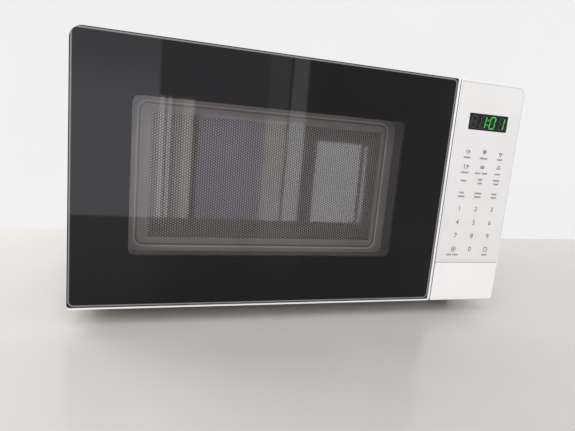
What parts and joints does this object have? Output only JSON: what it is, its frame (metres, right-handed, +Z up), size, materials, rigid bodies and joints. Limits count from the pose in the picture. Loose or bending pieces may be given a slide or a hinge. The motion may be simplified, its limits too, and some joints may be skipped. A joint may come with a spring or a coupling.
{
  "type": "microwave oven",
  "caption": "Countertop microwave oven with a side-hinged black glass door, perforated window, keypad with display, push-button door release and glass turntable.",
  "frame": {"origin": "on the worktop, under the middle of the oven's bounding box", "axes": "+Z up, +X to the right of a person facing the door, -Y out of the door"},
  "size_m": [0.454, 0.344, 0.258],
  "materials": {
    "white_paint": "semi-gloss powder coat",
    "bare_steel": "galvanised sheet",
    "foot_rubber": "matte",
    "cavity_paint": "satin enamel",
    "mica": "pressed mica sheet",
    "lamp_glass": "clear",
    "black_plastic": "moulded",
    "aluminium": "plain",
    "copper_winding": "enamelled wire",
    "grey_plastic": "moulded",
    "nylon": "moulded, natural",
    "circuit_board": "green board",
    "tray_glass": "clear pressed glass",
    "white_plastic": "white, semi-gloss",
    "keypad_film": "white film, fine satin",
    "display_lens": "smoked, glossy",
    "door_black_glass": "back-printed black, polished",
    "screen_paint": "satin grey paint",
    "inner_film": "clear film"
  },
  "bodies": {
    "chassis": {"outer_cabinet": "white_paint", "rear_panel": "bare_steel", "base_plate": "bare_steel", "foot_front_left": "foot_rubber", "foot_front_right": "foot_rubber", "foot_rear_left": "foot_rubber", "foot_rear_right": "foot_rubber", "cord_gland": "black_plastic", "cabinet_screw_1": "bare_steel", "cabinet_screw_2": "bare_steel", "cabinet_screw_3": "bare_steel", "cabinet_screw_4": "bare_steel", "cavity_front_plate": "cavity_paint", "cavity_box": "cavity_paint", "waveguide": "bare_steel", "waveguide_cover": "mica", "lamp_socket": "nylon", "cavity_lamp": "lamp_glass", "thermal_cutout": "black_plastic", "magnetron": "aluminium", "magnetron_filter_box": "bare_steel", "transformer_core": "bare_steel", "transformer_windings": "copper_winding", "high_voltage_capacitor": "aluminium", "capacitor_clamp": "bare_steel", "high_voltage_diode": "black_plastic", "fan_housing": "grey_plastic", "fan_motor": "bare_steel", "air_duct": "grey_plastic", "noise_filter_board": "circuit_board", "turntable_motor": "bare_steel", "latch_bracket": "nylon", "door_switch_upper": "black_plastic", "door_switch_monitor": "black_plastic", "door_switch_lower": "black_plastic", "release_spring": "bare_steel", "control_panel_housing": "white_plastic", "membrane_keypad": "keypad_film", "display_window": "display_lens", "display_module": "black_plastic", "control_board": "circuit_board", "upper_hinge": "bare_steel", "lower_hinge": "bare_steel"},
    "door": {"door_glass": "door_black_glass", "door_frame": "white_plastic", "door_steel_panel": "screen_paint", "door_inner_window": "inner_film", "choke_cover": "grey_plastic", "latch_spring": "bare_steel"},
    "latch": {"latch_lever": "white_plastic"},
    "open_button": {"door_open_button": "white_plastic"},
    "release_lever": {"release_lever": "nylon"},
    "fan": {"fan_blade": "nylon"},
    "coupler": {"drive_coupler": "nylon"},
    "tray": {"glass_tray": "tray_glass"},
    "roller_ring": {"roller_ring": "nylon"},
    "roller_1": {"roller_1": "nylon"},
    "roller_2": {"roller_2": "nylon"},
    "roller_3": {"roller_3": "nylon"}
  },
  "joints": [
    {"name": "door_hinge", "type": "hinge", "parent": "chassis", "child": "door", "pos_m": [-0.2185, -0.15, 0.138], "axis": [0, 0, -1], "range_deg": [0, 100]},
    {"name": "latch_lift", "type": "slide", "parent": "door", "child": "latch", "axis": [0, 0, 1], "range_m": [0, 0.003], "stiffness_N_per_m": 150, "springref_m": -0.004, "deforming": ["latch_spring"]},
    {"name": "open_button_press", "type": "slide", "parent": "chassis", "child": "open_button", "axis": [0, 1, 0], "range_m": [0, 0.004], "stiffness_N_per_m": 500, "springref_m": -0.003},
    {"name": "release_lever_turn", "type": "hinge", "parent": "chassis", "child": "release_lever", "pos_m": [0.142, -0.127, 0.056], "axis": [1, 0, 0], "range_deg": [0, 9.2]},
    {"name": "fan_spin", "type": "hinge", "parent": "chassis", "child": "fan", "pos_m": [0.172, 0.131, 0.179], "axis": [0, 1, 0], "continuous": true},
    {"name": "coupler_spin", "type": "hinge", "parent": "chassis", "child": "coupler", "pos_m": [-0.048, 0.0045, 0.05], "axis": [0, 0, 1], "continuous": true},
    {"name": "tray_lift", "type": "slide", "parent": "coupler", "child": "tray", "axis": [0, 0, 1], "range_m": [0, 0.03]},
    {"name": "roller_ring_spin", "type": "hinge", "parent": "chassis", "child": "roller_ring", "pos_m": [-0.048, 0.0045, 0.049], "axis": [0, 0, 1], "continuous": true},
    {"name": "roller_1_spin", "type": "hinge", "parent": "roller_ring", "child": "roller_1", "pos_m": [-0.048, 0.0905, 0.049], "axis": [0, 1, 0], "continuous": true},
    {"name": "roller_2_spin", "type": "hinge", "parent": "roller_ring", "child": "roller_2", "pos_m": [-0.12248, -0.0385, 0.049], "axis": [-0.866, -0.5, 0], "continuous": true},
    {"name": "roller_3_spin", "type": "hinge", "parent": "roller_ring", "child": "roller_3", "pos_m": [0.02648, -0.0385, 0.049], "axis": [0.866, -0.5, 0], "continuous": true}
  ],
  "couplings": [
    {"joint": "release_lever_turn", "follows": "open_button_press", "rad_per_m": 39.27},
    {"joint": "roller_ring_spin", "follows": "coupler_spin", "ratio": 0.5},
    {"joint": "roller_1_spin", "follows": "coupler_spin", "ratio": -4.9425},
    {"joint": "roller_2_spin", "follows": "coupler_spin", "ratio": -4.9425},
    {"joint": "roller_3_spin", "follows": "coupler_spin", "ratio": -4.9425}
  ]
}
